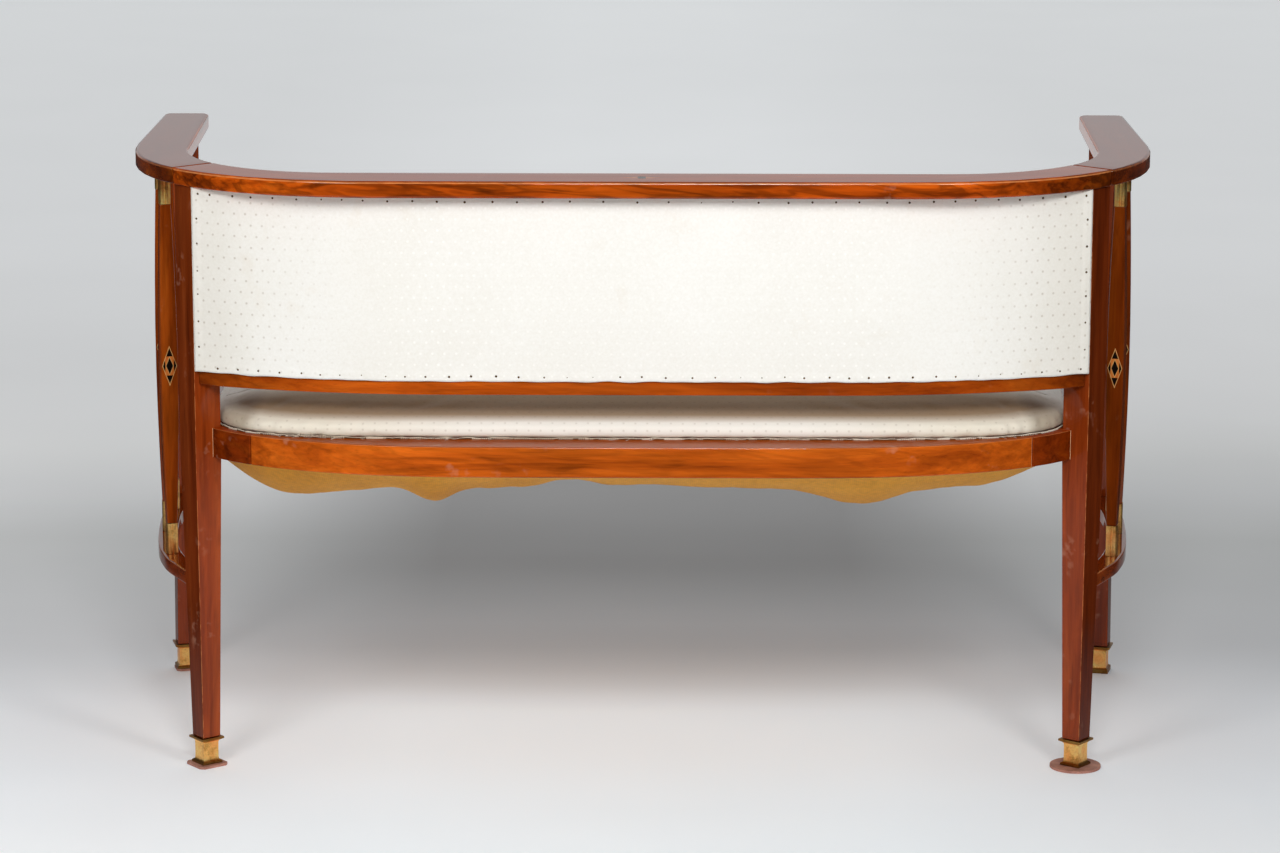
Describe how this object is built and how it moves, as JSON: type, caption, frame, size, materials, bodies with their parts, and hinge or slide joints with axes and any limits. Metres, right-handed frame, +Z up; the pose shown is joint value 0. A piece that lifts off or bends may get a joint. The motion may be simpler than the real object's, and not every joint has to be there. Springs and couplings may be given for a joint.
{
  "type": "upholstered settee",
  "caption": "Low mahogany settee with a horseshoe rail, padded back and seat, inlaid swelling slats at the sides and square tapered legs in brass sabots.",
  "frame": {"origin": "centre of the footprint's bounding box, on the floor that the settee stands on", "axes": "+X towards the right arm of somebody who stands in front of it, +Y from the open front to the back, +Z up"},
  "size_m": [1.2446, 0.596, 0.7345],
  "materials": {
    "back_wood": "polished orange-brown mahogany, figured along its length",
    "dark_wood": "polished dark red-brown mahogany",
    "leg_wood": "polished red-brown mahogany, grain upright",
    "slat_wood": "polished mid red-brown mahogany, grain upright",
    "hidden_wood": "unpolished frame wood inside the upholstery",
    "marquetry": "inlaid lozenge of light and black woods, flush and polished",
    "brass": "warm brass, polished and lightly tarnished",
    "fabric": "ivory woven cloth with small staggered grey dots",
    "base_cloth": "matte mustard-brown loose cloth",
    "webbing": "coarse jute webbing",
    "pad_leather": "matte brown-pink pad"
  },
  "bodies": {
    "root": {"arm_rail_left": "dark_wood", "arm_rail_right": "dark_wood", "back_stile_left": "hidden_wood", "back_stile_right": "hidden_wood", "corner_block_front_left": "hidden_wood", "corner_block_front_right": "hidden_wood", "corner_block_rear_left": "hidden_wood", "corner_block_rear_right": "hidden_wood", "ferrule_lower_front_left": "brass", "ferrule_lower_front_right": "brass", "ferrule_lower_middle_left": "brass", "ferrule_lower_middle_right": "brass", "ferrule_lower_rear_left": "brass", "ferrule_lower_rear_right": "brass", "ferrule_upper_front_left": "brass", "ferrule_upper_front_right": "brass", "ferrule_upper_middle_left": "brass", "ferrule_upper_middle_right": "brass", "ferrule_upper_rear_left": "brass", "ferrule_upper_rear_right": "brass", "front_foot_pad_right": "pad_leather", "front_post_left": "leg_wood", "front_post_right": "leg_wood", "front_sabot_left": "brass", "front_sabot_right": "brass", "inside_back_pad": "fabric", "lower_back_rail": "back_wood", "outside_back_cover": "fabric", "rear_foot_pad_left": "pad_leather", "rear_foot_pad_right": "pad_leather", "rear_post_left": "leg_wood", "rear_post_right": "leg_wood", "rear_sabot_left": "brass", "rear_sabot_right": "brass", "seat_cushion": "fabric", "seat_rail_corner_left": "dark_wood", "seat_rail_corner_right": "dark_wood", "seat_rail_front": "dark_wood", "seat_rail_rear": "back_wood", "seat_rail_side_left": "dark_wood", "seat_rail_side_right": "dark_wood", "seat_webbing": "webbing", "side_stretcher_left": "dark_wood", "side_stretcher_right": "dark_wood", "slat_front_left": "slat_wood", "slat_front_right": "slat_wood", "slat_inlay_front_left": "marquetry", "slat_inlay_front_right": "marquetry", "slat_inlay_middle_left": "marquetry", "slat_inlay_middle_right": "marquetry", "slat_inlay_rear_left": "marquetry", "slat_inlay_rear_right": "marquetry", "slat_middle_left": "slat_wood", "slat_middle_right": "slat_wood", "slat_rear_left": "slat_wood", "slat_rear_right": "slat_wood", "top_rail_back": "back_wood", "top_rail_inlay": "marquetry", "under_seat_cloth": "base_cloth"}
  },
  "joints": []
}
